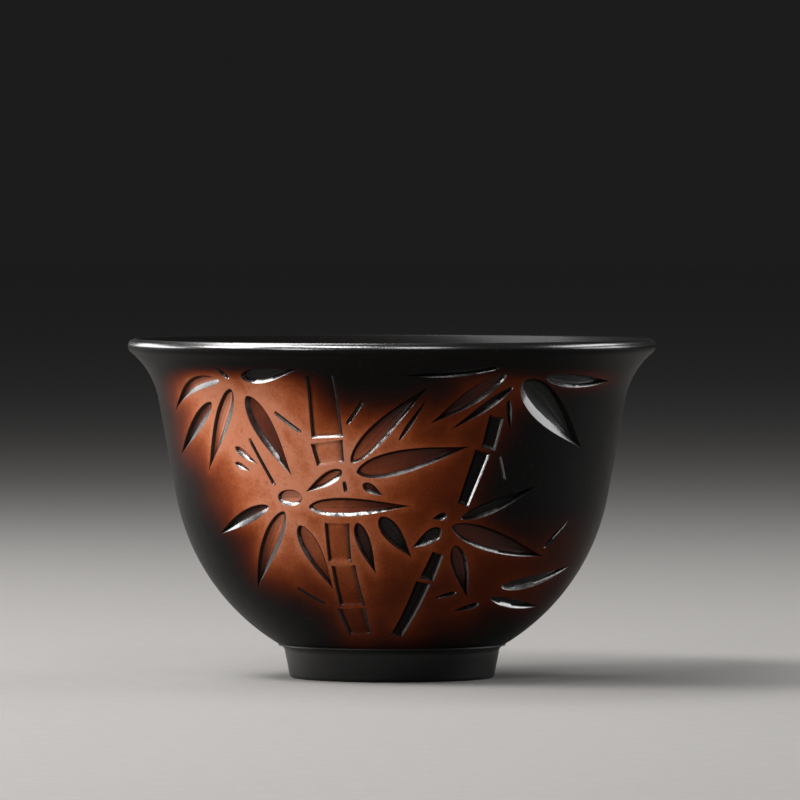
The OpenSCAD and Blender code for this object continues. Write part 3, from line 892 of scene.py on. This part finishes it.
def clay(name, stops, roughness, specular, grain_mm, carved=False):
    """A fired clay: its colour along the rubbed redness, dark in the cuts as dark skin and painted
    shade, with grain and flecks.

    A carved clay also has its banks' gloss, which breaks off in places.
    """
    shader = Shader(name)
    red, cut = shader.attribute("red"), shader.attribute("cut")
    cloud, grain = shader.noise(*CLOUD_NOISE), shader.noise(*GRAIN_NOISE)
    clouded = shader.math("MULTIPLY", red, shader.spread(cloud, *CLOUD_SPREAD))
    grained = shader.math("MULTIPLY", red, shader.spread(grain, *GRAIN_SPREAD))
    colour = shader.ramp(shader.math("ADD", clouded, grained, clamp=True), stops)
    # The cuts darken toward the black skin: dark skin left in them, and painted shade of the recesses
    colour = shader.mix(shader.math("MULTIPLY", cut, CUT_SKIN_AND_SHADE), colour, BLACK_SKIN)
    flecks = shader.math("GREATER_THAN", shader.noise(*FLECK_NOISE), FLECK_FROM)
    colour = shader.mix(shader.math("MULTIPLY", flecks, FLECK_SHARE), colour, FLECK)
    dull = shader.spread(cloud, roughness - ROUGHNESS_SPREAD, roughness + ROUGHNESS_SPREAD)
    dull = shader.math("ADD", dull, shader.math("MULTIPLY", red, RED_DULLING))
    grainy = shader.bump(grain, grain_mm)
    uneven = shader.bump(shader.noise(*UNEVEN_NOISE), UNEVEN_DEPTH, grainy)
    shader.set(Base_Color=colour, Roughness=dull, Normal=uneven, Specular_IOR_Level=specular)
    if carved:
        breaks = shader.spread(shader.noise(*BREAK_NOISE), BREAK_DULLING, 0.0, *BREAK_RANGE)
        lost = shader.math("MULTIPLY", shader.attribute("broken"), breaks)
        kept = shader.math("SUBTRACT", 1.0, lost)
        glint = shader.math("MULTIPLY", shader.attribute("gloss"), kept)
        shader.set(Coat_Weight=glint, Coat_Roughness=GLOSS_ROUGHNESS, Coat_IOR=GLOSS_IOR,
                   Coat_Normal=uneven)
    return shader.material


stoneware = clay(
    "dark_stoneware", RED_STOPS, roughness=0.4, specular=0.045, grain_mm=0.012, carved=True)
slip = clay("dark_slip", RED_STOPS, roughness=0.45, specular=0.2, grain_mm=0.016)
foot_clay = clay("foot_stoneware", BLACK_STOPS, roughness=0.4, specular=0.3, grain_mm=0.02)

bowl = build_bowl(stoneware)
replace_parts(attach(bowl, "root"), "bowl")
foot = build_foot(foot_clay)
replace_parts(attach(foot, "root"), "foot_ring")
for leaf in leaves:
    filled = build_slip(leaf, slip)
    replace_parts(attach(filled, "root"), leaf.name)

# The stage, in metres: a pale open floor, which darkens far behind the cup, out of the lamps' light
FLOOR_R, FLOOR_SIDES = 6.0, 96
FLOOR_NOISE = (3.0, 5.0, 0.7)
FLOOR_STOPS = [(0.0, (0.215, 0.207, 0.2)), (1.0, (0.26, 0.251, 0.243))]
floor_mesh = bpy.data.meshes.new("studio_floor")
floor_turn = np.linspace(0, 2 * math.pi, FLOOR_SIDES, endpoint=False)
floor_mesh.from_pydata(
    [(FLOOR_R * math.cos(a), FLOOR_R * math.sin(a), 0) for a in floor_turn],
    [], [range(FLOOR_SIDES)])
floor_shader = Shader("studio_floor")
pale = floor_shader.ramp(floor_shader.noise(*FLOOR_NOISE), FLOOR_STOPS)
floor_shader.set(Base_Color=pale, Roughness=0.85, Specular_IOR_Level=0.2)
floor_mesh.materials.append(floor_shader.material)
floor = add_object("studio_floor", floor_mesh)

# Soft rectangular lamps that face the cup: the name, place, width and height, watts and colour
CUP_MIDDLE = Vector((0, 0, 0.026))
WHITE, WARM = (1, 1, 1), (1.0, 0.985, 0.97)
LAMPS = [
    ("key", (-0.52, -0.08, 0.36), (0.24, 0.2), 2.8, WARM),
    ("glint", (-0.29, -0.22, 0.57), (0.5, 0.16), 4.2, WHITE),
    ("top", (0.1, -0.48, 0.5), (0.2, 0.2), 0.8, WHITE),
    ("back", (-0.42, 0.4, 0.17), (0.25, 0.2), 0.8, WHITE),
    ("right", (0.53, 0.13, 0.11), (0.3, 0.16), 0.8, WHITE),
    ("low", (-0.39, -0.43, 0.18), (0.14, 0.14), 0.9, WHITE),
    ("high_right", (0.436, 0.142, 0.347), (0.4, 0.12), 0.8, WHITE),
    ("side", (-0.55, 0.235, 0.11), (0.22, 0.16), 1.2, WHITE),
    ("rim", (-0.24, 0.2, 0.52), (0.5, 0.22), 2.4, WHITE)]
for name, place, size, watts, colour in LAMPS:
    light = bpy.data.lights.new(name, "AREA")
    light.shape, light.size, light.size_y = "RECTANGLE", *size
    light.energy, light.color = watts, colour
    lamp = add_object(name, light)
    lamp.location = place
    lamp.rotation_euler = (CUP_MIDDLE - Vector(place)).to_track_quat("-Z", "Y").to_euler()

# The room's light, and what shows beyond the floor, which is as dark as the floor's far edge
ROOM_LIGHT, FAR_COLOUR = (0.05, 0.05, 0.052), (0.012, 0.0116, 0.0116)
world = bpy.data.worlds.new("studio")
world.use_nodes = True
nodes, links = world.node_tree.nodes, world.node_tree.links
room = nodes["Background"]
far, ray, either, shown = (
    nodes.new(f"ShaderNode{kind}") for kind in ("Background", "LightPath", "Math", "MixShader"))
room.inputs["Color"].default_value = (*ROOM_LIGHT, 1)
far.inputs["Color"].default_value = (*FAR_COLOUR, 1)
either.operation = "MAXIMUM"
links.new(ray.outputs["Is Camera Ray"], either.inputs[0])
links.new(ray.outputs["Is Glossy Ray"], either.inputs[1])
links.new(either.outputs[0], shown.inputs["Fac"])
links.new(room.outputs[0], shown.inputs[1])
links.new(far.outputs[0], shown.inputs[2])
links.new(shown.outputs[0], nodes["World Output"].inputs["Surface"])
bpy.context.scene.world = world

# The photograph's camera: a long lens almost level with the lip
SENSOR_W, LENS = 36.0, 396.0
CAMERA_AT, CAMERA_AIM = Vector((0.00109, -1.2, 0.067)), Vector((0.00109, 0, 0.03782))
camera = add_object("camera", bpy.data.cameras.new("camera"))
camera.data.sensor_width, camera.data.lens = SENSOR_W, LENS
camera.location = CAMERA_AT
camera.rotation_euler = (CAMERA_AIM - CAMERA_AT).to_track_quat("-Z", "Y").to_euler()
bpy.context.scene.camera = camera
bpy.context.scene.view_settings.view_transform = "Standard"
